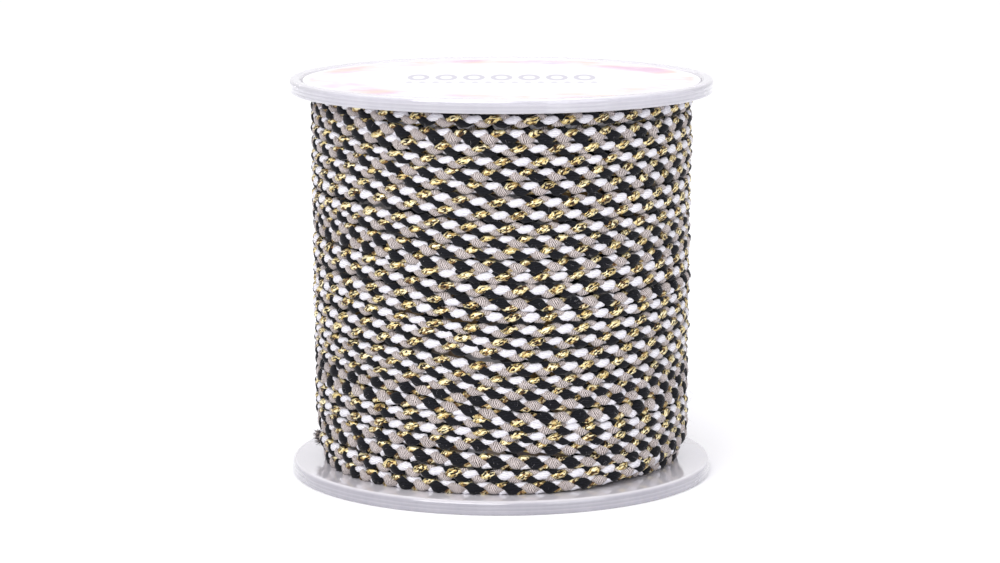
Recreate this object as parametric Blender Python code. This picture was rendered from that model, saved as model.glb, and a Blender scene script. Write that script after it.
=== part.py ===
"""A spool wound with braided cotton and gold cord, standing on its lower flange.

Metres, +Z up. The origin is the middle of the spool's underside. The front of the spool, where
the cord steps down from one course to the next, faces -Y. An azimuth is measured round the axis
from the front, positive towards +X.
"""

import math

import bmesh
import bpy

MM = 0.001

# Driving sizes of the spool
SPOOL_HEIGHT = 49.0 * MM
FLANGE_RADIUS = 26.0 * MM
FLANGE_THICKNESS = 1.7 * MM
RIM_ROUNDING = 0.5 * MM
BORE_RADIUS = 10.0 * MM
BARREL_RADIUS = 12.0 * MM
GAP = 0.3 * MM

# The paper label lies in a shallow recess of the upper flange
LABEL_RADIUS = 24.4 * MM
LABEL_THICKNESS = 0.3 * MM
LABEL_BELOW_RIM = 0.25 * MM

# The winding: courses of one cord laid side by side, counted from the top
CORD_DIAMETER = 1.5 * MM
COURSE_COUNT = 30
FIRST_COURSE_HEIGHT = 46.2 * MM
SECOND_COURSE_HEIGHT = 44.1 * MM
LAST_COURSE_HEIGHT = 2.7 * MM
COURSE_DROOP = 0.35 * MM
CREST_RADIUS_TOP = 23.4 * MM
CREST_RADIUS_BOTTOM = 23.1 * MM
GROOVE_DEPTH = 0.55 * MM
SHOULDER_DEPTH = 0.1 * MM
SHOULDER_OFFSET = 0.27

# In the step zone each course drops to the next one; it drifts to the right going down
STEP_ZONE_START_TOP = -64.0
STEP_ZONE_END_TOP = -10.0
STEP_ZONE_START_BOTTOM = -28.0
STEP_ZONE_END_BOTTOM = 36.0

# Beside the front the lowest courses lie deeper, and the last course ends at the left
UNDER_LAYER_RADIUS = 22.1 * MM
UNDER_LAYER_TOP = 5.2 * MM
LOWEST_SLOPE_TOP = 4.4 * MM
LOWEST_SLOPE_BOTTOM = 2.6 * MM
FRONT_HALF_ANGLE = 55.0
SIDE_ANGLE = 85.0
CORD_END_AZIMUTH = -86.0
CORD_END_HEIGHT = 4.3 * MM
CORD_END_LENGTH = 2.6 * MM
CORD_END_ROOT_RADIUS = 0.4 * MM
CORD_END_TIP_RADIUS = 0.62 * MM
CORD_END_SIDES = 10

ROUND_SEGMENTS = 72
RIM_STEPS = 3
WINDING_COLUMNS = 40


def clear_scene():
    for item in list(bpy.data.objects):
        bpy.data.objects.remove(item, do_unlink=True)


def make_material(name, colour, roughness, alpha=1.0):
    material = bpy.data.materials.new(name)
    material.use_nodes = True
    shader = material.node_tree.nodes["Principled BSDF"]
    shader.inputs["Base Color"].default_value = (*colour, 1.0)
    shader.inputs["Roughness"].default_value = roughness
    shader.inputs["Metallic"].default_value = 0.0
    shader.inputs["Alpha"].default_value = alpha
    return material


def object_from_bmesh(name, shape, material=None):
    bmesh.ops.recalc_face_normals(shape, faces=shape.faces)
    mesh = bpy.data.meshes.new(name)
    shape.to_mesh(mesh)
    shape.free()
    mesh.shade_smooth()
    mesh.set_sharp_from_angle(angle=math.radians(40))
    item = bpy.data.objects.new(name, mesh)
    bpy.context.scene.collection.objects.link(item)
    if material:
        mesh.materials.append(material)
    return item


def turned(name, profile, material=None, segments=ROUND_SEGMENTS):
    """A solid of revolution from a closed outline of (radius, height) points."""
    shape = bmesh.new()
    points = [shape.verts.new((radius, 0.0, height)) for radius, height in profile]
    edges = [shape.edges.new((points[i - 1], points[i])) for i in range(len(points))]
    bmesh.ops.spin(
        shape,
        geom=points + edges,
        cent=(0.0, 0.0, 0.0),
        axis=(0.0, 0.0, 1.0),
        angle=2 * math.pi,
        steps=segments,
        use_merge=True,
    )
    return object_from_bmesh(name, shape, material)


def quarter_arc(centre_radius, centre_height, start_degrees):
    """Points of a quarter circle of the rim's rounding, turning upwards."""
    points = []
    for step in range(RIM_STEPS + 1):
        angle = math.radians(start_degrees + 90.0 * step / RIM_STEPS)
        points.append(
            (
                centre_radius + RIM_ROUNDING * math.cos(angle),
                centre_height + RIM_ROUNDING * math.sin(angle),
            )
        )
    return points


def rim_outline(bottom, top):
    """The rounded outer edge of a flange, from its underside to its upper side."""
    inside = FLANGE_RADIUS - RIM_ROUNDING
    lower = quarter_arc(inside, bottom + RIM_ROUNDING, -90.0)
    upper = quarter_arc(inside, top - RIM_ROUNDING, 0.0)
    return lower + upper


def make_lower_flange(material):
    outline = [(BORE_RADIUS, 0.0)]
    outline += rim_outline(0.0, FLANGE_THICKNESS)
    outline += [(BORE_RADIUS, FLANGE_THICKNESS)]
    return turned("flange_lower", outline, material)


def make_upper_flange(material):
    bottom = SPOOL_HEIGHT - FLANGE_THICKNESS
    floor = SPOOL_HEIGHT - LABEL_BELOW_RIM - LABEL_THICKNESS - GAP
    outline = [(BORE_RADIUS, bottom)]
    outline += rim_outline(bottom, SPOOL_HEIGHT)
    outline += [
        (LABEL_RADIUS + 1.5 * GAP, SPOOL_HEIGHT),
        (LABEL_RADIUS + GAP, floor),
        (BORE_RADIUS, floor),
    ]
    return turned("flange_upper", outline, material)


def make_barrel(material):
    bottom = FLANGE_THICKNESS + GAP
    top = SPOOL_HEIGHT - FLANGE_THICKNESS - GAP
    outline = [
        (BORE_RADIUS, bottom),
        (BARREL_RADIUS, bottom),
        (BARREL_RADIUS, top),
        (BORE_RADIUS, top),
    ]
    return turned("barrel", outline, material)


def make_label(material):
    shape = bmesh.new()
    bmesh.ops.create_cone(
        shape,
        cap_ends=True,
        cap_tris=False,
        segments=ROUND_SEGMENTS,
        radius1=LABEL_RADIUS,
        radius2=LABEL_RADIUS,
        depth=LABEL_THICKNESS,
    )
    item = object_from_bmesh("label", shape, material)
    item.location.z = SPOOL_HEIGHT - LABEL_BELOW_RIM - LABEL_THICKNESS / 2
    return item


def blend(value, start, end):
    """0 at start, 1 at end, with an even S-curve between them."""
    share = min(1.0, max(0.0, (value - start) / (end - start)))
    return share * share * (3.0 - 2.0 * share)


def course_height(course):
    """Height of a course on the level part at the right, where course 1 is the top one."""
    if course < 2:
        return SECOND_COURSE_HEIGHT + (2 - course) * (FIRST_COURSE_HEIGHT - SECOND_COURSE_HEIGHT)
    share = (course - 2) / (COURSE_COUNT - 2)
    level = SECOND_COURSE_HEIGHT + share * (LAST_COURSE_HEIGHT - SECOND_COURSE_HEIGHT)
    return level - COURSE_DROOP * math.sin(math.pi * min(1.0, share))


def step_share(course, azimuth):
    """1 to the left of the step zone, where a course is still one place higher, 0 past it."""
    down = min(1.0, max(0.0, (course - 1) / (COURSE_COUNT - 1)))
    start = STEP_ZONE_START_TOP + down * (STEP_ZONE_START_BOTTOM - STEP_ZONE_START_TOP)
    end = STEP_ZONE_END_TOP + down * (STEP_ZONE_END_BOTTOM - STEP_ZONE_END_TOP)
    return 1.0 - blend(azimuth, start, end)


def surface_height(course, azimuth):
    return course_height(course - step_share(course, azimuth))


def crest_radius(height, azimuth):
    """Radius of the winding over the courses' crests."""
    up = height / SPOOL_HEIGHT
    radius = CREST_RADIUS_BOTTOM + up * (CREST_RADIUS_TOP - CREST_RADIUS_BOTTOM)
    sunk = 1.0 - blend(height, LOWEST_SLOPE_BOTTOM, LOWEST_SLOPE_TOP)
    sunk *= blend(abs(azimuth), FRONT_HALF_ANGLE, SIDE_ANGLE)
    if azimuth < CORD_END_AZIMUTH and height < UNDER_LAYER_TOP:
        sunk = 1.0
    return radius + sunk * (UNDER_LAYER_RADIUS - radius)


def winding_surface():
    """The ridged outer surface as one closed body, longer than the spool is high.

    Each column holds three points for a course: its groove and its two shoulders. A column's
    points meet those of the same course in the next column. At the back, where the azimuth
    wraps round, a course meets the one above it, because the cord is one long helix.
    """
    shape = bmesh.new()
    course_points = ((-0.5, GROOVE_DEPTH), (-SHOULDER_OFFSET, SHOULDER_DEPTH))
    course_points += ((SHOULDER_OFFSET, SHOULDER_DEPTH),)
    columns = []
    for column in range(WINDING_COLUMNS):
        azimuth = -180.0 + 360.0 * (column + 0.5) / WINDING_COLUMNS
        angle = math.radians(azimuth)
        points = []
        for course in range(-1, COURSE_COUNT + 3):
            for offset, depth in course_points:
                height = surface_height(course + offset, azimuth)
                radius = crest_radius(height, azimuth) - depth
                place = (radius * math.sin(angle), -radius * math.cos(angle), height)
                points.append(shape.verts.new(place))
        columns.append(points)
    shift = len(course_points)
    rows = len(columns[0])
    for first, second in zip(columns[:-1], columns[1:]):
        for row in range(rows - 1):
            shape.faces.new((first[row], second[row], second[row + 1], first[row + 1]))
    last, start = columns[-1], columns[0]
    for row in range(rows - 1 - shift):
        shape.faces.new((last[row], start[row + shift], start[row + shift + 1], last[row + 1]))
    bmesh.ops.holes_fill(shape, edges=[edge for edge in shape.edges if edge.is_boundary])
    bmesh.ops.triangulate(shape, faces=shape.faces)
    return shape


def make_winding(material):
    """The wound cord as one solid, trimmed to the room between the flanges."""
    winding = object_from_bmesh("winding", winding_surface(), material)
    bottom = FLANGE_THICKNESS + GAP
    top = SPOOL_HEIGHT - FLANGE_THICKNESS - GAP
    room = turned(
        "winding_room",
        [
            (BARREL_RADIUS + GAP, bottom),
            (FLANGE_RADIUS, bottom),
            (FLANGE_RADIUS, top),
            (BARREL_RADIUS + GAP, top),
        ],
        segments=ROUND_SEGMENTS // 2,
    )
    room.hide_render = True
    room.display_type = "WIRE"
    trim = winding.modifiers.new("trim", "BOOLEAN")
    trim.operation = "INTERSECT"
    trim.solver = "EXACT"
    trim.object = room
    return winding


def make_cord_end(material):
    """The frayed end of the cord, flaring out of the last course at the left."""
    shape = bmesh.new()
    bmesh.ops.create_cone(
        shape,
        cap_ends=True,
        cap_tris=False,
        segments=CORD_END_SIDES,
        radius1=CORD_END_ROOT_RADIUS,
        radius2=CORD_END_TIP_RADIUS,
        depth=CORD_END_LENGTH,
    )
    item = object_from_bmesh("cord_end", shape, material)
    distance = UNDER_LAYER_RADIUS + GAP + CORD_END_TIP_RADIUS
    middle_turn = math.degrees(CORD_END_LENGTH / 2 / distance) + math.degrees(GAP / distance)
    azimuth = math.radians(CORD_END_AZIMUTH - middle_turn)
    item.location = (
        distance * math.sin(azimuth),
        -distance * math.cos(azimuth),
        CORD_END_HEIGHT,
    )
    item.rotation_euler = (math.radians(90.0), 0.0, azimuth - math.radians(90.0))
    return item


def main():
    clear_scene()
    clear_plastic = make_material("clear_plastic", (0.86, 0.87, 0.93), 0.14, alpha=0.45)
    barrel_plastic = make_material("barrel_plastic", (0.86, 0.87, 0.93), 0.2, alpha=0.6)
    upper_plastic = make_material("upper_plastic", (0.88, 0.88, 0.94), 0.14, alpha=0.45)
    paper = make_material("label_paper", (0.93, 0.92, 0.9), 0.55)
    cord = make_material("braided_cord", (0.5, 0.44, 0.34), 0.75)
    frayed_cord = make_material("frayed_cord", (0.16, 0.15, 0.15), 0.9)
    make_lower_flange(clear_plastic)
    make_barrel(barrel_plastic)
    make_upper_flange(upper_plastic)
    make_label(paper)
    make_winding(cord)
    make_cord_end(frayed_cord)


main()
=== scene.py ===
"""The looks of a clear spool wound with a thin four-strand braid of cotton and gold foil.

The winding is one long cord. It runs level round the right side and the back, and steps down to
the next course in a zone that crosses the front left. Its four strands are modelled as the
strands of a real round braid: white and gold turn one way, black and grey the other, and each
passes over and under by turns. Lengths are in metres and azimuths in degrees from the front
(-Y), positive towards +X, unless a name says otherwise.
"""

import math

import bpy
import numpy as np
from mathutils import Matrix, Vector


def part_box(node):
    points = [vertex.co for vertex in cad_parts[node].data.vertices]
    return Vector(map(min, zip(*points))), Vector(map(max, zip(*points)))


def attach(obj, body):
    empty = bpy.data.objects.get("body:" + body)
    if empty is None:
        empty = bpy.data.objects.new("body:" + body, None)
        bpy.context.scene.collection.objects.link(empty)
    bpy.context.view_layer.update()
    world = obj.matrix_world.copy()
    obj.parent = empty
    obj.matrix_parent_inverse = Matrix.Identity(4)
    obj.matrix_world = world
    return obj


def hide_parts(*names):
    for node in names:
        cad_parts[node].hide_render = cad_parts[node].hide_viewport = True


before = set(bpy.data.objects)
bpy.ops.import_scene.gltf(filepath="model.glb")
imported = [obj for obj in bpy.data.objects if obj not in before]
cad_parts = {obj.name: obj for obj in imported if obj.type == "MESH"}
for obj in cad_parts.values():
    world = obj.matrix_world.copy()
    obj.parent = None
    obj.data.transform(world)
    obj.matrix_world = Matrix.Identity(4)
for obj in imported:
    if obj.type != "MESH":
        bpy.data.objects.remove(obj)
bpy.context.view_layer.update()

MM = 0.001
SEED = 7

# The photograph's view
PHOTO_WIDTH = 1000
PHOTO_HEIGHT = 563
FOCAL_PIXELS = 3219.15
SENSOR_WIDTH = 36.0
CAMERA_DISTANCE = 393.5 * MM
CAMERA_HEIGHT = 89.55 * MM
CAMERA_PITCH = 9.538
AXIS_PIXEL = (501.53, 282.0)

# Spool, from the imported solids. The rim lines are fine moulding lines, at shares of the
# flange's thickness. The label's outline starts just off the axis, too near to it to show.
FLANGE_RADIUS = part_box("flange_lower")[1].x
FLANGE_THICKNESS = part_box("flange_lower")[1].z
SPOOL_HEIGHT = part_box("flange_upper")[1].z
UPPER_FLANGE_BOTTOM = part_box("flange_upper")[0].z
BARREL_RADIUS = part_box("barrel")[1].x
BARREL_WALL = 2.0 * MM
BORE_RADIUS = BARREL_RADIUS - BARREL_WALL
LABEL_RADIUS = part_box("label")[1].x
LABEL_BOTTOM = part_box("label")[0].z
LABEL_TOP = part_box("label")[1].z
WINDING_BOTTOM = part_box("winding")[0].z
WINDING_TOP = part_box("winding")[1].z
RIM_ROUNDING = 0.5 * MM
EDGE_ROUNDING = 0.2 * MM
RIM_LINES = (0.3, 0.55)
RIM_LINE_DEPTH = 0.035 * MM
RIM_LINE_WIDTH = 0.12 * MM
RECESS_CLEARANCE = 0.3 * MM
RECESS_SLOPE = 0.8 * MM
LABEL_FIT = 0.03 * MM
LABEL_CENTRE = 0.01 * MM
LABEL_EDGE = 0.06 * MM
SPOOL_SEGMENTS = 160
SHARP_DEGREES = 35.0

# Tones of the clear plastic, each from darker to paler: flat faces and the two rims. The rims'
# dark tones are painted shade for the dark winding and shade seen through them, darker on the lower
# rim
FACE_TONES = ((0.35, (0.965, 0.935, 1.0)), (0.65, (0.98, 0.955, 1.0)))
UPPER_RIM_PAINTED_SHADE = ((0.35, (0.53, 0.52, 0.58)), (0.65, (0.58, 0.57, 0.63)))
LOWER_RIM_PAINTED_SHADE = ((0.35, (0.40, 0.39, 0.45)), (0.65, (0.45, 0.44, 0.50)))

# The label's plain decoration. The rows of rings and dots have a half pitch, a count of half
# pitches to either side, a place towards the back, an inner and outer radius, and how much
# longer than wide they are. The blots keep to a ring, given by shares of the label's radius.
PAPER_WHITE = (0.80, 0.795, 0.81)
PAPER_GRAIN_TONE = (0.7, 0.69, 0.7)
PAPER_GRAIN = 0.06
BLOT_RING = ((0.70, (0, 0, 0)), (0.82, (1, 1, 1)), (0.95, (1, 1, 1)), (0.985, (0, 0, 0)))
BLOT_SCALE = 120.0
BLOT_EDGE = (0.42, 0.60)
BLOT_TINTS = (
    (0.38, (0.56, 0.49, 0.66)),
    (0.46, (0.73, 0.53, 0.62)),
    (0.54, (0.78, 0.60, 0.52)),
    (0.62, (0.69, 0.50, 0.62)),
)
MARK_TINT = (0.50, 0.48, 0.55)
MARK_STRENGTH = 0.8
LABEL_ROWS = (
    (1.7 * MM, 8, 1.2 * MM, 0.75 * MM, 1.35 * MM, 2.6),
    (0.8 * MM, 16, -4.4 * MM, 0.0, 0.45 * MM, 1.5),
)

# The cord and its braid. The braid repeats after a number of degrees round the spool. The
# middle of a strand lies a depth away from the middle of the cord, and the weave is how much
# further out it gets as it passes over and further in as it passes under. The soft cord is a
# little taller than round, and swells more where its neighbours leave room.
CORD_RADIUS = 0.75 * MM
CORD_PITCH = 1.5 * MM
MEASURING_RADIUS = 23.0
PERIOD_DEGREES = 11.13
TURN = 360.0
STRAND_DEPTH = 0.28 * MM
STRAND_WEAVE = 0.19 * MM
LOBE_FULLNESS = 0.36
LOBE_VARIATION = 0.05
FLATTENING = 1.10
SWELLING = 1.2
MOST_SWELLING = 1.2

# Where a strand has its rings of points, by its angle round the cord, where a ring has its
# points, and the size in mm of the section that places round a strand are measured on
RING_ANGLES = (-100.0, -74.0, -54.0, -36.0, -18.0, 0.0, 18.0, 36.0, 54.0, 74.0, 100.0)
HIDDEN_RING_ANGLES = (140.0, 180.0, 220.0)
SECTION_ANGLES = (90.0, 132.0, 172.0, 235.0, -55.0, 8.0, 48.0)
SECTION_HALF_WIDTH = 0.55
SECTION_HALF_HEIGHT = 0.32

# The strands. The turning is the way round the cord, the start is in degrees, and the
# straightening, in degrees too, draws each visible lobe along the cord.
STRANDS = (
    # name, turning, start, straightening, half_width, half_height, roughness
    ("cord_white", 1, 0.0, 26.5, 0.385 * MM, 0.41 * MM, 0.012),
    ("cord_gold", 1, 180.0, 24.0, 0.37 * MM, 0.40 * MM, 0.03),
    ("cord_grey", -1, 0.0, 17.0, 0.44 * MM, 0.335 * MM, 0.015),
    ("cord_black", -1, 180.0, 17.0, 0.505 * MM, 0.345 * MM, 0.015),
)

# The foil: its facets and their tones, the foil's own gold with painted highlights on the pale
# facets and painted shade in the dark creases, and painted shade that browns its sides, which sets
# in between two distances from the middle of the strand's outer face, in mm round the strand
FACET_SCALE = 3.6
FACET_WARP = (0.35, 0.35, 0.0)
FACET_STRETCH = (1.0, 1.6, 1.0)
FACET_TURN = (0.0, 0.0, 0.5)
FOIL_TONES_GLINTS_AND_SHADE = (
    (0.24, (0.012, 0.006, 0.003)),
    (0.37, (0.20, 0.09, 0.03)),
    (0.50, (0.60, 0.44, 0.15)),
    (0.66, (0.84, 0.70, 0.34)),
    (0.84, (0.95, 0.87, 0.56)),
)
FOIL_SIDE_SHADE_SPAN = (0.44, 0.74)
FOIL_SIDE_PAINTED_SHADE = (0.13, 0.06, 0.02)
FOIL_SIDE_SHADE_STRENGTH = 0.75

# Loose hairs: their rings from root to tip, how thick each ring is, the corners of a ring, and
# a direction that no hair points in, which the corners are set out from
HAIR_STEPS = (0.0, 0.35, 0.7, 1.0)
HAIR_TAPER = (1.0, 0.85, 0.6, 0.2)
HAIR_CORNERS = (45.0, 135.0, 225.0, 315.0)
HAIR_SIDE_HELPER = (0.31, 0.52, 0.79)

# Fuzz on the strands, and the tuft at the frayed end
FUZZ_COUNT = 2800
FUZZ_TRIES = 12000
FUZZ_RADIUS = 0.009 * MM
FUZZ_LENGTH = (0.25 * MM, 0.8 * MM)
FUZZ_LEAST_FACING = 0.35
FUZZ_ROOT = 0.85
FUZZ_SCATTER = 0.6
FUZZ_BEND = 0.5
TUFT_COUNT = 220
TUFT_RADIUS = 0.08 * MM
TUFT_LENGTH = (0.4 * MM, 1.0 * MM)
TUFT_AZIMUTH = -86.0
TUFT_ROOT_RADIUS = 21.9 * MM
TUFT_HEIGHT = 4.2 * MM
TUFT_SPREAD = 0.36 * MM
TUFT_SCATTER = 0.5
TUFT_BEND = 0.3

# How the courses lie, read off the photograph. The heights are in mm where the middle of the
# cord is seen against a cylinder of the measuring radius, left and right of its step to the
# next course, and the step runs between two azimuths. The roll is in degrees at azimuths -45
# and +20: at roll 0 the white and gold face looks outwards, and it grows as that face turns
# upwards. The last two columns are where one white lobe lies on either side, in mm of arc.
COURSES = (
    # height_left, height_right, step_start, step_end,
    # roll_left, roll_right, white_left, white_right
    (46.5, 46.2, -60, -10, 60, 0, -12.5, 1.3),
    (45.6, 44.3, -66, -12, 85, 50, -11.2, 1.8),
    (44.35, 42.87, -66, -16, 65, 0, -13.7, 4.3),
    (42.9, 41.36, -72, -18, 55, 3, -11.1, 2.4),
    (41.2, 39.85, -66, -8, 75, 50, -12.5, 0.8),
    (39.6, 38.3, -55, 0, 45, 45, -14.3, 3.4),
    (38.1, 36.55, -52, 4, 25, 5, -11.5, 1.7),
    (36.6, 35.1, -46, 2, 20, 5, -13.3, 4.2),
    (34.75, 33.47, -50, 6, 20, 5, -10.6, 2.8),
    (33.65, 32.0, -52, 0, 60, 60, -12.7, 0.6),
    (32.4, 30.7, -66, -6, 72, 40, -14.5, 3.3),
    (31.05, 29.1, -66, -6, 82, 75, -12.2, 0.8),
    (29.0, 27.83, -58, 2, 30, 5, -11.0, 2.5),
    (27.6, 26.23, -56, 2, 40, 10, -13.3, 0.0),
    (25.72, 24.5, -38, 6, 10, -75, -10.4, 3.25),
    (24.47, 23.1, -46, 6, 5, 0, -13.8, 3.5),
    (23.05, 21.5, -55, 2, 40, 10, -15.0, 3.25),
    (21.35, 19.95, -32, 2, 15, 35, -11.4, 2.0),
    (19.85, 18.35, -35, 20, 15, 30, -13.0, 0.75),
    (18.15, 16.92, -32, 2, 45, 20, -14.05, 3.9),
    (16.95, 15.25, -34, 8, 45, 50, -11.6, 1.8),
    (15.55, 13.85, -38, 12, 50, 60, -13.7, 0.3),
    (14.3, 12.55, -32, 8, 100, 100, -10.9, 2.7),
    (12.65, 10.87, -30, 15, 110, 110, -12.2, 1.85),
    (10.95, 9.0, -25, 42, 50, 50, -13.7, 4.2),
    (9.55, 7.65, -25, 50, 5, 35, -13.5, 4.25),
    (8.05, 6.25, -15, 55, 70, 60, -10.2, 2.8),
    (6.5, 4.85, -60, 78, 80, 85, -13.5, 5.2),
    (4.4, 4.05, -45, 10, 42, 10, -12.2, 0.5),
    (2.65, 4.3, 12, 76, 75, 85, -11.1, 2.4),
)
(
    HEIGHT_LEFT,
    HEIGHT_RIGHT,
    STEP_START,
    STEP_END,
    ROLL_LEFT,
    ROLL_RIGHT,
    WHITE_LEFT,
    WHITE_RIGHT,
) = range(8)

# The path of the cord: azimuths that the columns above hold for, the crests of the first and
# last course, how far some courses, by number, are sunk in at the left and right, its tucked-in
# ends, its small wander in and out, and over how many degrees to either side it is smoothed
FLANK = 80.0
ROLL_PLACES = (-45.0, 20.0)
SINK_PLACES = (-90.0, -30.0, 30.0, 90.0)
CREST_RADIUS = (23.4 * MM, 23.1 * MM)
SUNK_AT_LEFT = {28: 0.3 * MM, 29: 0.45 * MM, 30: 1.0 * MM}
SUNK_AT_RIGHT = {29: 0.5 * MM, 30: 0.5 * MM}
PATH_START = -150.0
PATH_END_PAST_LAST = 118.0
TUCK_DEPTH = 1.3 * MM
TUCK_DEGREES = 42.0
WANDER = 0.05 * MM
WANDER_WAVES = ((0.73, 0.0), (1.91, 40.0))
HEIGHT_SMOOTHING = 4
ROLL_SMOOTHING = 12
PHASE_SMOOTHING = 8
SINK_SMOOTHING = 8
SPREAD_SMOOTHING = 10
TANGENT_STEP = 0.12

# Turns of the layer below that show in gaps between courses: height in mm, crest radius in mm
UNDER_TURNS = ((45.35, 22.0), (3.6, 22.0), (2.75, 22.2))
UNDER_WAVE = 0.1 * MM
UNDER_ROLL_STEP = 37.0

# The layers under those, with ridges on both ends
CORE_RADIUS = 21.3 * MM
CORE_CLEARANCE = 0.3 * MM
CORE_RIDGES = 6
CORE_RIDGE_HEIGHT = 0.35 * MM
CORE_SEGMENTS = 96

# Room that each turn of a strand takes in the map that patterns are baked to, in shares of its
# row: where it starts, how long it is, how far up it lies and how high it is, and the margin of
# a hair in its cell of that map
BAKE_START = 0.01
BAKE_LENGTH = 0.95
BAKE_BASE = 0.06
BAKE_HEIGHT = 0.88
HAIR_BAKE_MARGIN = 0.1

# Studio. The floor lies just under the spool.
FLOOR_HALF = 3.0
FLOOR_DROP = 0.02 * MM
FLOOR_TONES = ((0.3, (0.95, 0.95, 0.96)), (0.7, (0.97, 0.97, 0.98)))
SKY_COLOUR = (0.975, 0.97, 1.0, 1.0)
SKY_STRENGTH = 0.95
LIGHT_TARGET = (0.0, 0.0, 0.02)
LIGHTS = (
    # name, place, size, power, colour
    ("key", (-0.35, -0.78, 0.6), (0.9, 0.6), 6.2, (1.0, 0.99, 0.98)),
    ("fill", (0.6, -0.7, 0.35), (0.6, 0.6), 1.8, (0.98, 0.98, 1.0)),
    ("top", (0.0, 0.1, 0.9), (0.8, 0.8), 1.5, (1.0, 1.0, 1.0)),
)


def set_input(shader, name, value):
    shader.inputs[name].default_value = value


def smoothed(values, width):
    """Moving average, with the ends held."""
    padded = np.pad(values, width, mode="edge")
    kernel = np.ones(2 * width + 1) / (2 * width + 1)
    return np.convolve(padded, kernel, mode="valid")


def stepped(value, start, end):
    share = np.clip((value - start) / (end - start), 0.0, 1.0)
    return share * share * (3.0 - 2.0 * share)


class CordPath:
    """Where the cord's middle runs, by its azimuth counted on from turn to turn."""

    def __init__(self, turns, heights, radii, rolls, phases):
        self.turns = turns
        self.heights = heights
        self.radii = radii
        self.rolls = rolls
        self.phases = phases
        self.spread = self.spread_into_gaps()

    def spread_into_gaps(self):
        """How much taller than round the soft cord is, more where its neighbours leave room."""
        above = self.at(self.turns - TURN, self.heights) - self.heights
        below = self.heights - self.at(self.turns + TURN, self.heights)
        room = np.where(above <= 0.0, below, np.where(below <= 0.0, above, (above + below) / 2))
        spread = 1.0 + SWELLING * (room / CORD_PITCH - 1.0)
        return FLATTENING * smoothed(np.clip(spread, 1.0, MOST_SWELLING), SPREAD_SMOOTHING)

    def at(self, turns, values):
        return np.interp(turns, self.turns, values)

    def point_and_frame(self, turns):
        """Middle of the cord, and its directions along, outwards and upwards."""
        angle = np.radians(turns)
        radius = self.at(turns, self.radii)
        height = self.at(turns, self.heights)
        slope = (self.at(turns + 0.5, self.heights) - self.at(turns - 0.5, self.heights)) / (
            radius * math.radians(1.0)
        )
        sine, cosine, zero = np.sin(angle), np.cos(angle), np.zeros_like(angle)
        middle = np.stack([radius * sine, -radius * cosine, height], axis=1)
        along = np.stack([cosine, sine, slope], axis=1)
        along /= np.linalg.norm(along, axis=1)[:, None]
        outwards = np.stack([sine, -cosine, zero], axis=1)
        upwards = np.cross(outwards, along)
        return middle, along, outwards, upwards


def real_heights(seen_heights, radii, turns):
    """Heights of the cord's middle from those seen on the measuring cylinder by the camera."""
    facing = np.maximum(np.cos(np.radians(turns)), 0.0)
    cylinder = MEASURING_RADIUS * MM
    slope = (CAMERA_HEIGHT - seen_heights) / (CAMERA_DISTANCE - cylinder * facing)
    return seen_heights - (cylinder - radii) * facing * slope


def main_path():
    """The path of the one cord that makes all the courses, from the top to the bottom."""
    last = len(COURSES)
    turns = np.arange(PATH_START, (last - 1) * TURN + PATH_END_PAST_LAST + 1.0, 1.0)
    height_knots, roll_knots, phase_knots, sink_knots = [], [], [], []
    periods = 0.0
    for course, row in enumerate(COURSES, start=1):
        base = (course - 1) * TURN
        start, end = row[STEP_START], row[STEP_END]
        height_left, height_right = row[HEIGHT_LEFT] * MM, row[HEIGHT_RIGHT] * MM
        height_knots += [(base - FLANK, height_left), (base + start, height_left)]
        for part in np.linspace(0.1, 0.9, 9):
            drop = stepped(part, 0.0, 1.0) * (height_right - height_left)
            height_knots.append((base + start + part * (end - start), height_left + drop))
        height_knots += [(base + end, height_right), (base + FLANK, height_right)]
        for place, roll in zip(ROLL_PLACES, (row[ROLL_LEFT], row[ROLL_RIGHT])):
            roll_knots.append((base + place, roll))
        left = math.degrees(row[WHITE_LEFT] / MEASURING_RADIUS)
        right = math.degrees(row[WHITE_RIGHT] / MEASURING_RADIUS)
        if phase_knots:
            periods += round((base + left - phase_knots[-1][0]) / PERIOD_DEGREES)
        phase_knots.append((base + left, periods * TURN))
        periods += round((right - left) / PERIOD_DEGREES)
        phase_knots.append((base + right, periods * TURN))
        sunk = (SUNK_AT_LEFT.get(course, 0.0), 0.0, 0.0, SUNK_AT_RIGHT.get(course, 0.0))
        for place, depth in zip(SINK_PLACES, sunk):
            sink_knots.append((base + place, depth))
    heights = smoothed(interpolated(turns, height_knots), HEIGHT_SMOOTHING)
    rolls = smoothed(interpolated(turns, roll_knots), ROLL_SMOOTHING)
    phases = smoothed(continued(turns, phase_knots, TURN / PERIOD_DEGREES), PHASE_SMOOTHING)
    sinks = smoothed(interpolated(turns, sink_knots), SINK_SMOOTHING)
    crest = CREST_RADIUS[0] + (turns / turns[-1]) * (CREST_RADIUS[1] - CREST_RADIUS[0])
    waves = (np.sin(np.radians(turns * rate + shift)) for rate, shift in WANDER_WAVES)
    wander = WANDER * sum(waves)
    tuck = 1.0 - stepped(turns, turns[0], turns[0] + TUCK_DEGREES)
    tuck += stepped(turns, turns[-1] - TUCK_DEGREES, turns[-1])
    radii = crest - CORD_RADIUS + wander - sinks - TUCK_DEPTH * tuck
    return CordPath(turns, real_heights(heights, radii, turns), radii, rolls, phases)


def interpolated(turns, knots):
    places, values = zip(*knots)
    return np.interp(turns, places, values)


def continued(turns, knots, rate):
    """Interpolation that runs on at an even rate past both ends."""
    first, last = knots[0], knots[-1]
    more = 2 * TURN
    knots = [(first[0] - more, first[1] - more * rate)] + knots
    knots += [(last[0] + more, last[1] + more * rate)]
    return interpolated(turns, knots)


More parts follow.
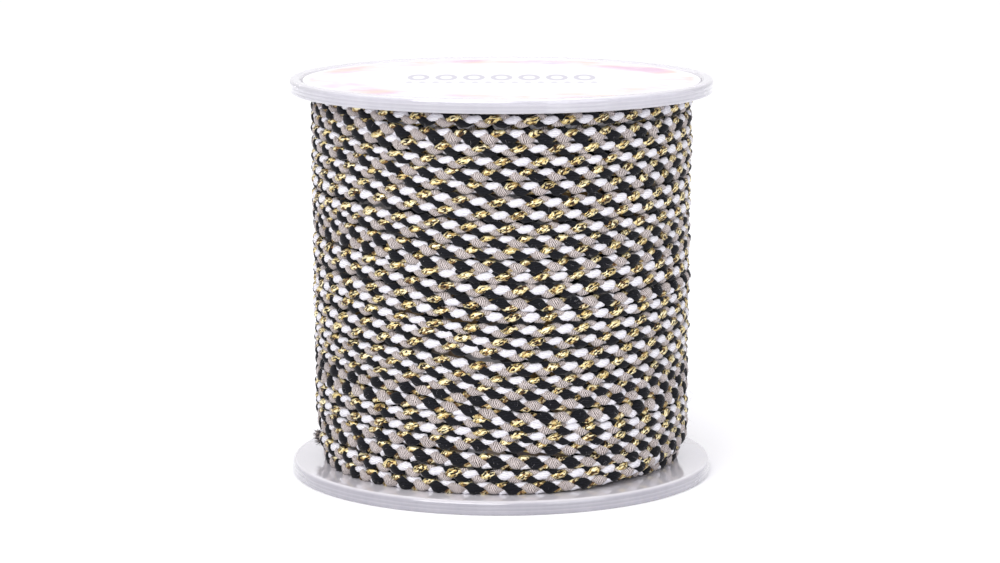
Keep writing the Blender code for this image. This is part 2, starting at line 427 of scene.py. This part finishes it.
def under_path(height, crest, roll):
    """One closed turn of the layer below."""
    turns = np.arange(-180.0, 181.0, 1.0)
    same = np.ones_like(turns)
    wave = UNDER_WAVE * np.sin(np.radians(2.0 * turns + 60.0))
    periods = round(TURN / PERIOD_DEGREES)
    return CordPath(
        turns,
        height * MM * same + wave,
        crest * MM - CORD_RADIUS - np.abs(wave),
        roll * same,
        turns * periods,
    )


class Strand:
    """One strand of the braid. Its turning is +1 or -1, and its start a phase in degrees."""

    def __init__(self, name, turning, start, straightening, half_width, half_height, roughness):
        self.name = name
        self.turning = turning
        self.start = start
        self.straightening = straightening
        self.half_width = half_width
        self.half_height = half_height
        self.roughness = roughness

    def angle(self, path, turns):
        """Angle round the cord, from outwards towards upwards, in degrees."""
        phase = path.at(turns, path.phases)
        swing = self.straightening * np.sin(2.0 * np.radians(phase))
        return path.at(turns, path.rolls) + self.turning * phase + self.start - swing

    def centre(self, path, turns):
        middle, along, outwards, upwards = path.point_and_frame(turns)
        angle = np.radians(self.angle(path, turns))
        phase = np.radians(path.at(turns, path.phases))
        depth = STRAND_DEPTH + self.turning * STRAND_WEAVE * np.cos(2.0 * phase)
        out = np.cos(angle)[:, None] * outwards + np.sin(angle)[:, None] * upwards
        return middle + depth[:, None] * out, out, depth

    def ring_places(self, path):
        """Places along the path where the strand gets a ring of points, closer where it shows."""
        fine = np.arange(path.turns[0] + 0.5, path.turns[-1] - 0.5, 0.1)
        angles = self.turning * self.angle(path, fine)
        low, high = angles.min(), angles.max()
        steps = np.sort(np.array(RING_ANGLES + HIDDEN_RING_ANGLES) % TURN)
        rounds = np.arange(math.floor(low / TURN), math.ceil(high / TURN) + 1) * TURN
        wanted = (rounds[:, None] + steps[None, :]).ravel()
        wanted = wanted[(wanted > low) & (wanted < high)]
        return np.interp(wanted, angles, fine)

    def tube(self, path, random):
        """Ring points, where each ring lies in azimuth, and how far along the strand it lies, in
        mm.
        """
        turns = self.ring_places(path)
        centre, out, depth = self.centre(path, turns)
        ahead, _, _ = self.centre(path, turns + TANGENT_STEP)
        behind, _, _ = self.centre(path, turns - TANGENT_STEP)
        along = ahead - behind
        along /= np.linalg.norm(along, axis=1)[:, None]
        out = out - (out * along).sum(1)[:, None] * along
        out /= np.linalg.norm(out, axis=1)[:, None]
        side = np.cross(along, out)
        over = (depth - STRAND_DEPTH) / STRAND_WEAVE
        lobe = np.floor(path.at(turns, path.phases) / 180.0 + 0.5).astype(int)
        variation = random.standard_normal(lobe.max() - lobe.min() + 1)
        lobe_size = 1.0 + LOBE_VARIATION * variation
        size = lobe_size[lobe - lobe.min()]
        width = self.half_width * (1.0 + LOBE_FULLNESS * over) * size
        height = self.half_height * size
        angles = np.radians(SECTION_ANGLES)
        rough = 1.0 + self.roughness * random.standard_normal((len(turns), len(angles)))
        middle, _, _, upwards = path.point_and_frame(turns)
        points = (centre - middle)[:, None, :]
        points = points + (width[:, None] * np.cos(angles) * rough)[..., None] * side[:, None, :]
        points = points + (height[:, None] * np.sin(angles) * rough)[..., None] * out[:, None, :]
        rise = np.einsum("rsk,rk->rs", points, upwards)
        extra = path.at(turns, path.spread)[:, None] - 1.0
        points += (extra * rise)[..., None] * upwards[:, None, :]
        points += middle[:, None, :]
        lengths = np.linalg.norm(np.diff(centre, axis=0), axis=1)
        travelled = np.concatenate([[0.0], np.cumsum(lengths)])
        return points, turns, travelled / MM


def section_places():
    """Where each section point lies round the strand, in mm, from the middle of its outer face."""
    angles = np.radians(SECTION_ANGLES)
    across, outwards = SECTION_HALF_WIDTH * np.cos(angles), SECTION_HALF_HEIGHT * np.sin(angles)
    outline = np.stack([across, outwards], axis=1)
    steps = np.linalg.norm(np.roll(outline, -1, axis=0) - outline, axis=1)
    return np.concatenate([[0.0], np.cumsum(steps)])


def quad_mesh(name, points, faces, maps, material):
    """A smooth mesh of quads. Each map in maps is a name and one place for each face corner."""
    mesh = bpy.data.meshes.new(name)
    mesh.vertices.add(len(points))
    mesh.vertices.foreach_set("co", points.astype(np.float32).ravel())
    mesh.loops.add(faces.size)
    mesh.loops.foreach_set("vertex_index", faces.astype(np.int32).ravel())
    mesh.polygons.add(len(faces))
    mesh.polygons.foreach_set("loop_start", np.arange(0, faces.size, 4, dtype=np.int32))
    mesh.update(calc_edges=True)
    for map_name, places in maps:
        layer = mesh.uv_layers.new(name=map_name)
        layer.uv.foreach_set("vector", places.astype(np.float32).ravel())
    mesh.shade_smooth()
    mesh.materials.append(material)
    piece = bpy.data.objects.new(name, mesh)
    bpy.context.scene.collection.objects.link(piece)
    return piece


def tube_mesh(name, tubes, material):
    """A mesh of tubes, with their lengthwise and round places as the map named strand."""
    all_points, all_faces, all_places, all_bake = [], [], [], []
    first = 0
    around = section_places()
    rows = sum(int(math.ceil((turns[-1] - turns[0]) / TURN)) for _, turns, _ in tubes) + 1
    row = 0
    for points, turns, travelled in tubes:
        rings, sides = points.shape[:2]
        index = first + np.arange(rings * sides).reshape(rings, sides)
        after = np.roll(index, -1, axis=1)
        quads = np.stack([index[:-1], after[:-1], after[1:], index[1:]], axis=-1)
        all_points.append(points.reshape(-1, 3))
        all_faces.append(quads.reshape(-1, 4))
        low = np.broadcast_to(around[None, :-1], (rings - 1, sides))
        high = np.broadcast_to(around[None, 1:], (rings - 1, sides))
        here = np.broadcast_to(travelled[:-1, None], (rings - 1, sides))
        there = np.broadcast_to(travelled[1:, None], (rings - 1, sides))
        corners = ((here, low), (here, high), (there, high), (there, low))
        places = np.stack([np.stack(pair, axis=-1) for pair in corners], axis=2)
        all_places.append(places.reshape(-1, 2))
        line = np.floor((turns[:-1] - turns[0]) / TURN)
        start = (turns[:-1] - turns[0]) / TURN - line
        end = (turns[1:] - turns[0]) / TURN - line
        rise = (row + line + BAKE_BASE)[:, None] + BAKE_HEIGHT * low / around[-1]
        rise_after = (row + line + BAKE_BASE)[:, None] + BAKE_HEIGHT * high / around[-1]
        start = np.broadcast_to(BAKE_START + BAKE_LENGTH * start[:, None], low.shape)
        end = np.broadcast_to(BAKE_START + BAKE_LENGTH * end[:, None], low.shape)
        corners = ((start, rise), (start, rise_after), (end, rise_after), (end, rise))
        bake = np.stack([np.stack(pair, axis=-1) for pair in corners], axis=2)
        bake[..., 1] /= rows
        all_bake.append(bake.reshape(-1, 2))
        row += int(line.max()) + 1
        first += rings * sides
    maps = (("strand", np.concatenate(all_places)), ("OFBake", np.concatenate(all_bake)))
    return quad_mesh(name, np.concatenate(all_points), np.concatenate(all_faces), maps, material)


def hair_mesh(name, roots, directions, lengths, radius, bend, material, random):
    """A mesh of closed curved hairs, thinner towards their tips."""
    rings, sides = len(HAIR_STEPS), len(HAIR_CORNERS)
    count = len(roots)
    curl = bend * random.standard_normal((count, 3))
    step = np.array(HAIR_STEPS)[None, :, None]
    reach = directions[:, None, :] * step + curl[:, None, :] * step**2
    middle = roots[:, None, :] + reach * lengths[:, None, None]
    first = np.cross(directions, np.array(HAIR_SIDE_HELPER))
    first /= np.linalg.norm(first, axis=1)[:, None]
    second = np.cross(directions, first)
    corner = np.radians(HAIR_CORNERS)
    section = np.cos(corner)[None, :, None] * first[:, None, :]
    section = section + np.sin(corner)[None, :, None] * second[:, None, :]
    taper = radius * np.array(HAIR_TAPER)
    points = middle[:, :, None, :] + taper[None, :, None, None] * section[:, None, :, :]
    index = np.arange(rings * sides).reshape(rings, sides)
    after = np.roll(index, -1, axis=1)
    faces = np.stack([index[:-1], after[:-1], after[1:], index[1:]], axis=-1).reshape(-1, 4)
    faces = np.concatenate([faces, index[:1, ::-1], index[-1:]])
    faces = faces[None] + (np.arange(count) * rings * sides)[:, None, None]
    across = math.ceil(math.sqrt(count))
    cell = np.stack([np.arange(count) % across, np.arange(count) // across], axis=1)
    columns, rows = np.arange(sides) / (sides + 2), np.arange(rings) / (rings + 1)
    place = np.stack(np.meshgrid(columns, rows), axis=-1)
    local = HAIR_BAKE_MARGIN + place.reshape(-1, 2)
    bake = (cell[:, None, :] + local[None]) / across
    bake = bake.reshape(-1, 2)[faces.reshape(-1)]
    maps = (("OFBake", bake),)
    return quad_mesh(name, points.reshape(-1, 3), faces.reshape(-1, 4), maps, material)


class Material:
    """A Principled material and short ways to add nodes to it."""

    def __init__(self, name):
        self.material = bpy.data.materials.new(name)
        self.material.use_nodes = True
        self.tree = self.material.node_tree
        self.shader = self.tree.nodes["Principled BSDF"]

    def set(self, **values):
        for name, value in values.items():
            self.shader.inputs[name.replace("_", " ")].default_value = value

    def node(self, kind, settings=None, **inputs):
        made = self.tree.nodes.new(kind)
        for name, value in (settings or {}).items():
            setattr(made, name, value)
        for name, value in inputs.items():
            self.feed(made, name, value)
        return made

    def feed(self, node, name, value):
        socket = node.inputs[int(name[2:])] if name.startswith("in") else node.inputs[name]
        if isinstance(value, bpy.types.NodeSocket):
            self.tree.links.new(value, socket)
        else:
            socket.default_value = value

    def link(self, output, input_name):
        self.tree.links.new(output, self.shader.inputs[input_name])

    def maths(self, operation, first, second=0.0, third=0.0):
        settings = {"operation": operation}
        made = self.node("ShaderNodeMath", settings, in0=first, in1=second, in2=third)
        return made.outputs[0]

    def noise(self, vector, scale, detail=3.0, roughness=0.55):
        made = self.node("ShaderNodeTexNoise", None, Vector=vector, Scale=scale)
        made.inputs["Detail"].default_value = detail
        made.inputs["Roughness"].default_value = roughness
        return made.outputs["Fac"]

    def between(self, value, low, high):
        made = self.node("ShaderNodeMapRange", None, Value=value)
        made.inputs["From Min"].default_value = low
        made.inputs["From Max"].default_value = high
        return made.outputs["Result"]

    def length(self, first, second):
        square = self.maths("MULTIPLY", first, first)
        other_square = self.maths("MULTIPLY", second, second)
        return self.maths("SQRT", self.maths("ADD", square, other_square))

    def ramp(self, factor, stops):
        made = self.node("ShaderNodeValToRGB", None, Fac=factor)
        ramp = made.color_ramp
        while len(ramp.elements) < len(stops):
            ramp.elements.new(0.5)
        for element, (place, colour) in zip(ramp.elements, stops):
            element.position = place
            element.color = (*colour, 1.0)
        return made.outputs["Color"]

    def mixed(self, factor, first, second):
        made = self.node("ShaderNodeMix", {"data_type": "RGBA"})
        self.feed(made, "in0", factor)
        self.feed(made, "in6", first)
        self.feed(made, "in7", second)
        return made.outputs[2]

    def bump(self, height, strength, distance):
        made = self.node("ShaderNodeBump", None, Height=height)
        made.inputs["Strength"].default_value = strength
        made.inputs["Distance"].default_value = distance
        self.link(made.outputs["Normal"], "Normal")

    def strand_places(self):
        """Places along and round the strand, in mm."""
        uv = self.node("ShaderNodeUVMap", {"uv_map": "strand"}).outputs["UV"]
        split = self.node("ShaderNodeSeparateXYZ", None, Vector=uv)
        return uv, split.outputs["X"], split.outputs["Y"]

    def fibre_lines(self, spacing, lean):
        """Wavy fine lines across the strand like its twisted plies, 0 to 1."""
        uv, along, girth = self.strand_places()
        waver = self.maths("MULTIPLY", self.noise(uv, 2.2), 0.35)
        across = self.maths("ADD", self.maths("MULTIPLY", along, lean), girth)
        phase = self.maths("MULTIPLY", self.maths("ADD", across, waver), 2.0 * math.pi / spacing)
        return self.maths("MULTIPLY_ADD", self.maths("SINE", phase), 0.5, 0.5)


def cotton_material(name, light, dark, spacing, lean, bump, darkness, grain=0.6):
    """Twisted cotton yarn: fine plies, uneven tone and soft fibres."""
    made = Material(name)
    uv, _, _ = made.strand_places()
    lines = made.fibre_lines(spacing, lean)
    fine = made.noise(uv, 9.0, 4.0, 0.7)
    patches = made.noise(uv, 0.9, 2.0)
    shade = made.maths("MULTIPLY", lines, 0.55)
    shade = made.maths("ADD", shade, made.maths("MULTIPLY", fine, grain))
    shade = made.maths("ADD", shade, made.maths("MULTIPLY", patches, 0.3))
    shade = made.maths("SUBTRACT", shade, darkness)
    colour = made.ramp(shade, ((0.18, dark), (0.62, light)))
    made.link(colour, "Base Color")
    ply_height = made.maths("MULTIPLY", lines, 0.6)
    fibre_height = made.maths("MULTIPLY", fine, 0.7)
    made.bump(made.maths("ADD", ply_height, fibre_height), bump, 0.05 * MM)
    return made


def white_material():
    made = cotton_material(
        "white_cotton",
        light=(0.82, 0.812, 0.838),
        dark=(0.56, 0.545, 0.61),
        spacing=0.21,
        lean=0.5,
        bump=0.9,
        darkness=0.33,
    )
    made.set(Roughness=0.75, Sheen_Weight=0.15, Sheen_Roughness=0.5)
    set_input(made.shader, "Specular IOR Level", 0.25)
    return made.material


def black_material():
    made = cotton_material(
        "black_cotton",
        light=(0.0085, 0.009, 0.013),
        dark=(0.002, 0.002, 0.003),
        spacing=0.23,
        lean=-0.6,
        bump=0.6,
        darkness=0.3,
    )
    made.set(Roughness=0.85, Sheen_Weight=0.12, Sheen_Roughness=0.4)
    set_input(made.shader, "Specular IOR Level", 0.15)
    return made.material


def grey_material():
    made = cotton_material(
        "grey_cotton",
        light=(0.71, 0.63, 0.61),
        dark=(0.05, 0.036, 0.034),
        spacing=0.26,
        lean=1.0,
        bump=1.0,
        darkness=0.585,
        grain=1.1,
    )
    made.set(Roughness=0.8, Sheen_Weight=0.25, Sheen_Roughness=0.5)
    set_input(made.shader, "Specular IOR Level", 0.2)
    return made.material


def gold_material():
    """Crinkled metallic foil: small facets from pale to dark, painted glints and crease shade, and
    painted shade on its sides.
    """
    made = Material("gold_foil")
    uv, _, girth = made.strand_places()
    ripple = made.noise(uv, 3.0, 2.0)
    warp = made.node("ShaderNodeVectorMath", {"operation": "MULTIPLY_ADD"}, in0=ripple, in2=uv)
    warp.inputs[1].default_value = FACET_WARP
    stretch = made.node("ShaderNodeMapping", None, Vector=warp.outputs[0])
    stretch.inputs["Scale"].default_value = FACET_STRETCH
    stretch.inputs["Rotation"].default_value = FACET_TURN
    place = stretch.outputs["Vector"]
    cells = made.node("ShaderNodeTexVoronoi", None, Vector=place, Scale=FACET_SCALE)
    facet = made.node("ShaderNodeSeparateColor", None, Color=cells.outputs["Color"]).outputs[0]
    fine = made.maths("SUBTRACT", made.noise(uv, 11.0, 2.0), 0.5)
    tone = made.maths("ADD", facet, made.maths("MULTIPLY", fine, 0.7))
    # painted highlights and shade: the pale facet tones stand in for glints, the near-black ones
    # for shade in the creases
    colour = made.ramp(tone, FOIL_TONES_GLINTS_AND_SHADE)
    # painted shade: the strand's sides, away from its outer face, are darkened towards brown
    other_way = made.maths("SUBTRACT", section_places()[-1], girth)
    from_outer = made.maths("MINIMUM", girth, other_way)
    side_shade = made.maths("MULTIPLY", made.between(from_outer, *FOIL_SIDE_SHADE_SPAN), FOIL_SIDE_SHADE_STRENGTH)
    colour = made.mixed(side_shade, colour, (*FOIL_SIDE_PAINTED_SHADE, 1.0))
    made.link(colour, "Base Color")
    made.set(Metallic=0.6, Roughness=0.36)
    made.bump(tone, 1.0, 0.06 * MM)
    return made.material


def make_strands():
    return [Strand(*row) for row in STRANDS]


def make_cord(path):
    below = [
        under_path(height, crest, UNDER_ROLL_STEP * number)
        for number, (height, crest) in enumerate(UNDER_TURNS)
    ]
    materials = (white_material(), gold_material(), grey_material(), black_material())
    random = np.random.default_rng(SEED)
    for strand, material in zip(make_strands(), materials):
        piece = tube_mesh(strand.name, [strand.tube(path, random)], material)
        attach(piece, "root")
        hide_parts("winding")
        tubes = [strand.tube(turn, random) for turn in below]
        under = tube_mesh(strand.name + "_below", tubes, material)
        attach(under, "root")


def unit(vectors):
    return vectors / np.linalg.norm(vectors, axis=1)[:, None]


def fibre_material(name, light, dark):
    made = Material(name)
    place = made.node("ShaderNodeTexCoord").outputs["Object"]
    tone = made.noise(place, 1500.0, 2.0)
    made.link(made.ramp(tone, ((0.35, dark), (0.65, light))), "Base Color")
    made.set(Roughness=0.9, Sheen_Weight=0.2)
    return made.material


def make_fuzz(path):
    """Short loose fibres that stand off the cotton strands."""
    random = np.random.default_rng(SEED + 1)
    pale = fibre_material("pale_fibres", (0.50, 0.48, 0.50), (0.28, 0.26, 0.27))
    dark = fibre_material("dark_fibres", (0.03, 0.03, 0.035), (0.01, 0.01, 0.012))
    first_turn, last_turn = path.turns[0] + TUCK_DEGREES, path.turns[-1] - TUCK_DEGREES
    for name, material, strand_names, count in (
        ("fuzz_pale", pale, ("cord_white", "cord_grey", "cord_black"), FUZZ_COUNT),
        ("fuzz_dark", dark, ("cord_black",), FUZZ_COUNT // 2),
    ):
        roots, directions = [], []
        for strand in make_strands():
            if strand.name not in strand_names:
                continue
            turns = random.uniform(first_turn, last_turn, FUZZ_TRIES)
            centre, out, depth = strand.centre(path, turns)
            outwards = path.point_and_frame(turns)[2]
            facing = (out * outwards).sum(1)
            shown = (facing > FUZZ_LEAST_FACING) & (depth > STRAND_DEPTH)
            roots.append((centre + FUZZ_ROOT * strand.half_height * out)[shown])
            directions.append(out[shown])
        roots, directions = np.concatenate(roots), np.concatenate(directions)
        chosen = random.permutation(len(roots))[:count]
        roots = roots[chosen]
        directions = unit(directions[chosen] + FUZZ_SCATTER * random.standard_normal((count, 3)))
        lengths = random.uniform(*FUZZ_LENGTH, count)
        fuzz = hair_mesh(
            name, roots, directions, lengths, FUZZ_RADIUS, FUZZ_BEND, material, random
        )
        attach(fuzz, "root")


def make_tuft():
    """The frayed end of the cord, fanning out at the left just above the lower flange."""
    random = np.random.default_rng(SEED + 2)
    azimuth = math.radians(TUFT_AZIMUTH)
    outwards = np.array([math.sin(azimuth), -math.cos(azimuth), 0.0])
    root = TUFT_ROOT_RADIUS * outwards + np.array([0.0, 0.0, TUFT_HEIGHT])
    grey = fibre_material("frayed_grey", (0.36, 0.30, 0.28), (0.09, 0.07, 0.06))
    black = fibre_material("frayed_black", (0.02, 0.02, 0.025), (0.006, 0.006, 0.008))
    for name, material, share, rise in (
        ("tuft_grey", grey, 1.0, 0.35),
        ("tuft_black", black, 0.8, 0.1),
    ):
        count = int(TUFT_COUNT * share)
        roots = root + TUFT_SPREAD * random.standard_normal((count, 3))
        lean = outwards + np.array([0.0, 0.0, rise])
        directions = unit(lean + TUFT_SCATTER * random.standard_normal((count, 3)))
        lengths = random.uniform(*TUFT_LENGTH, count)
        tuft = hair_mesh(
            name, roots, directions, lengths, TUFT_RADIUS, TUFT_BEND, material, random
        )
        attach(tuft, "root")
        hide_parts("cord_end")


def turned(name, outline, segments, material):
    """A turned solid from a closed outline of (radius, height) points."""
    mesh = bpy.data.meshes.new(name)
    rows = len(outline)
    radius = np.array([point[0] for point in outline])
    height = np.array([point[1] for point in outline])
    angle = 2.0 * math.pi * np.arange(segments) / segments
    points = np.stack(
        [
            np.outer(np.cos(angle), radius),
            np.outer(np.sin(angle), radius),
            np.outer(np.ones(segments), height),
        ],
        axis=-1,
    ).reshape(-1, 3)
    faces = []
    for column in range(segments):
        after = (column + 1) % segments
        for row in range(rows):
            up = (row + 1) % rows
            here, there = column * rows, after * rows
            faces.append((here + row, there + row, there + up, here + up))
    mesh.from_pydata(points.tolist(), [], faces)
    mesh.shade_smooth()
    mesh.set_sharp_from_angle(angle=math.radians(SHARP_DEGREES))
    mesh.materials.append(material)
    piece = bpy.data.objects.new(name, mesh)
    bpy.context.scene.collection.objects.link(piece)
    return piece


def arc(centre_radius, centre_height, rounding, start, end, steps):
    points = []
    for step in range(steps + 1):
        angle = math.radians(start + (end - start) * step / steps)
        radius = centre_radius + rounding * math.cos(angle)
        points.append((radius, centre_height + rounding * math.sin(angle)))
    return points


def rim(bottom, top):
    """Outline of a flange's edge, with two fine moulding lines round it."""
    thickness = top - bottom
    edge_centre = (FLANGE_RADIUS - EDGE_ROUNDING, bottom + EDGE_ROUNDING)
    lower = arc(*edge_centre, EDGE_ROUNDING, -90.0, 0.0, 4)
    lines = []
    for share in RIM_LINES:
        height = bottom + share * thickness
        lines += [
            (FLANGE_RADIUS, height - RIM_LINE_WIDTH),
            (FLANGE_RADIUS - RIM_LINE_DEPTH, height),
            (FLANGE_RADIUS, height + RIM_LINE_WIDTH),
        ]
    rim_centre = (FLANGE_RADIUS - RIM_ROUNDING, top - RIM_ROUNDING)
    upper = arc(*rim_centre, RIM_ROUNDING, 0.0, 90.0, 6)
    return lower + lines + upper


def plastic_material():
    """Clear moulded plastic with a milky lavender haze, fine scuffs and moulding waves, and painted
    shade on its rims.
    """
    made = Material("clear_plastic")
    place = made.node("ShaderNodeTexCoord").outputs["Object"]
    waves = made.noise(place, 260.0, 2.0)
    scuffs = made.noise(place, 2600.0, 3.0)
    split = made.node("ShaderNodeSeparateXYZ", None, Vector=place)
    from_axis = made.length(split.outputs["X"], split.outputs["Y"])
    inside = FLANGE_RADIUS - RIM_ROUNDING / 2
    face = made.ramp(waves, FACE_TONES)
    low = made.between(split.outputs["Z"], UPPER_FLANGE_BOTTOM, FLANGE_THICKNESS)
    # painted shade: darker rim tones, darker still on the lower flange, for the winding and shade
    # seen through the rims
    edge = made.mixed(low, made.ramp(waves, UPPER_RIM_PAINTED_SHADE), made.ramp(waves, LOWER_RIM_PAINTED_SHADE))
    at_rim = made.between(from_axis, inside, FLANGE_RADIUS)
    made.link(made.mixed(at_rim, face, edge), "Base Color")
    made.link(made.maths("MULTIPLY_ADD", scuffs, 0.08, 0.04), "Roughness")
    made.set(Transmission_Weight=0.38, IOR=1.5, Coat_Weight=1.0, Coat_Roughness=0.10, Coat_IOR=1.75)
    made.bump(waves, 0.10, 0.10 * MM)
    return made.material


def make_spool():
    floor = LABEL_BOTTOM - RECESS_CLEARANCE
    outline = [(BORE_RADIUS, 0.0)]
    outline += rim(0.0, FLANGE_THICKNESS)
    outline += [(BARREL_RADIUS, FLANGE_THICKNESS), (BARREL_RADIUS, UPPER_FLANGE_BOTTOM)]
    outline += rim(UPPER_FLANGE_BOTTOM, SPOOL_HEIGHT)
    outline += [
        (LABEL_RADIUS + RECESS_SLOPE, SPOOL_HEIGHT),
        (LABEL_RADIUS + RECESS_SLOPE / 2, (SPOOL_HEIGHT + LABEL_TOP) / 2),
        (LABEL_RADIUS + LABEL_FIT, floor),
        (BORE_RADIUS, floor),
    ]
    spool = turned("spool", outline, SPOOL_SEGMENTS, plastic_material())
    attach(spool, "root")
    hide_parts("flange_lower", "barrel", "flange_upper")


def label_material():
    """White coated paper: soft pale blots near its edge, and plain rings and dots in the middle."""
    made = Material("label_paper")
    place = made.node("ShaderNodeTexCoord").outputs["Object"]
    split = made.node("ShaderNodeSeparateXYZ", None, Vector=place)
    right, back = split.outputs["X"], split.outputs["Y"]
    from_middle = made.maths("DIVIDE", made.length(right, back), LABEL_RADIUS)
    grain = made.noise(place, 4200.0, 3.0)
    blots = made.noise(place, BLOT_SCALE, 3.0, 0.6)
    tints = made.noise(place, 0.5 * BLOT_SCALE, 1.0)
    ring = made.ramp(from_middle, BLOT_RING)
    amount = made.maths("MULTIPLY", made.between(blots, *BLOT_EDGE), ring)
    tint = made.ramp(tints, BLOT_TINTS)
    grain_share = made.maths("MULTIPLY", grain, PAPER_GRAIN)
    paper = made.mixed(grain_share, (*PAPER_WHITE, 1.0), (*PAPER_GRAIN_TONE, 1.0))
    colour = made.mixed(amount, paper, tint)
    for pitch, count, row, inner, outer, longer in LABEL_ROWS:
        cell = made.maths("PINGPONG", right, pitch)
        off_row = made.maths("DIVIDE", made.maths("SUBTRACT", back, row), longer)
        reach = made.length(cell, off_row)
        mark = made.maths(
            "MULTIPLY",
            made.maths("GREATER_THAN", reach, inner),
            made.maths("LESS_THAN", reach, outer),
        )
        within = made.maths("LESS_THAN", made.maths("ABSOLUTE", right), (count - 1) * pitch)
        strength = made.maths("MULTIPLY", made.maths("MULTIPLY", mark, within), MARK_STRENGTH)
        colour = made.mixed(strength, colour, (*MARK_TINT, 1.0))
    made.link(colour, "Base Color")
    made.set(Roughness=0.5)
    set_input(made.shader, "Specular IOR Level", 0.3)
    made.bump(grain, 0.15, 0.02 * MM)
    return made.material


def make_label():
    outline = [
        (LABEL_CENTRE, LABEL_BOTTOM),
        (LABEL_RADIUS - LABEL_EDGE, LABEL_BOTTOM),
        (LABEL_RADIUS, LABEL_BOTTOM + LABEL_EDGE),
        (LABEL_RADIUS, LABEL_TOP - LABEL_EDGE),
        (LABEL_RADIUS - LABEL_EDGE, LABEL_TOP),
        (LABEL_CENTRE, LABEL_TOP),
    ]
    label = turned("label_paper", outline, SPOOL_SEGMENTS, label_material())
    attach(label, "root")
    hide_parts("label")


def core_material_with_painted_shade():
    made = Material("cord_layers_below")
    place = made.node("ShaderNodeTexCoord").outputs["Object"]
    cells = made.node("ShaderNodeTexVoronoi", None, Vector=place, Scale=620.0)
    tone = made.node("ShaderNodeSeparateColor", None, Color=cells.outputs["Color"])
    # painted shade: the four strands' colours, darkened for the shade in the gaps between the
    # courses
    colour = made.ramp(
        tone.outputs[0],
        (
            (0.3, (0.015, 0.015, 0.02)),
            (0.45, (0.2, 0.17, 0.17)),
            (0.6, (0.35, 0.2, 0.06)),
            (0.8, (0.5, 0.49, 0.52)),
        ),
    )
    made.link(colour, "Base Color")
    made.set(Roughness=0.9)
    return made.material


def make_core():
    """The layers below the outer one, with a ridge for each turn on both ends."""
    inner, outer = BARREL_RADIUS + CORE_CLEARANCE, CORE_RADIUS
    pitch = (outer - inner) / CORE_RIDGES
    ends = []
    for ridge in range(CORE_RIDGES):
        for share in (0.0, 0.25, 0.5, 0.75):
            depth = CORE_RIDGE_HEIGHT * (1.0 - math.sin(math.pi * share))
            ends.append((inner + pitch * (ridge + share), depth))
    ends.append((outer, CORE_RIDGE_HEIGHT))
    bottom = [(radius, WINDING_BOTTOM + depth) for radius, depth in ends]
    top = [(radius, WINDING_TOP - depth) for radius, depth in reversed(ends)]
    core = turned("cord_layers_below", bottom + top, CORE_SEGMENTS, core_material_with_painted_shade())
    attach(core, "root")
    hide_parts("winding")


def make_floor():
    mesh = bpy.data.meshes.new("floor")
    half = FLOOR_HALF
    corners = [(-half, -half, 0), (half, -half, 0), (half, half, 0), (-half, half, 0)]
    mesh.from_pydata(corners, [], [(0, 1, 2, 3)])
    made = Material("floor_white")
    place = made.node("ShaderNodeTexCoord").outputs["Object"]
    tone = made.noise(place, 3.0, 2.0)
    made.link(made.ramp(tone, FLOOR_TONES), "Base Color")
    made.set(Roughness=0.9)
    set_input(made.shader, "Specular IOR Level", 0.1)
    mesh.materials.append(made.material)
    floor = bpy.data.objects.new("floor", mesh)
    floor.location.z = -FLOOR_DROP
    bpy.context.scene.collection.objects.link(floor)


def add_light(name, place, size, power, colour):
    data = bpy.data.lights.new(name, "AREA")
    data.shape = "RECTANGLE"
    data.size, data.size_y = size
    data.energy = power
    data.color = colour
    lamp = bpy.data.objects.new(name, data)
    lamp.location = place
    direction = Vector(LIGHT_TARGET) - Vector(place)
    lamp.rotation_euler = direction.to_track_quat("-Z", "Y").to_euler()
    bpy.context.scene.collection.objects.link(lamp)


def make_lights():
    world = bpy.data.worlds.new("studio")
    world.use_nodes = True
    background = world.node_tree.nodes["Background"]
    background.inputs["Color"].default_value = SKY_COLOUR
    background.inputs["Strength"].default_value = SKY_STRENGTH
    bpy.context.scene.world = world
    for row in LIGHTS:
        add_light(*row)


def make_camera():
    data = bpy.data.cameras.new("photo_view")
    data.sensor_width = SENSOR_WIDTH
    data.lens = SENSOR_WIDTH * FOCAL_PIXELS / PHOTO_WIDTH
    data.shift_x = -(AXIS_PIXEL[0] - PHOTO_WIDTH / 2) / PHOTO_WIDTH
    data.shift_y = (AXIS_PIXEL[1] - PHOTO_HEIGHT / 2) / PHOTO_WIDTH
    data.clip_start, data.clip_end = 0.01, 20.0
    camera = bpy.data.objects.new("photo_view", data)
    camera.location = (0.0, -CAMERA_DISTANCE, CAMERA_HEIGHT)
    camera.rotation_euler = (math.radians(90.0 - CAMERA_PITCH), 0.0, 0.0)
    bpy.context.scene.collection.objects.link(camera)
    bpy.context.scene.camera = camera


make_camera()
cord_path = main_path()
make_cord(cord_path)
make_fuzz(cord_path)
make_tuft()
make_core()
make_spool()
make_label()
make_floor()
make_lights()
bpy.context.scene.view_settings.view_transform = "Standard"
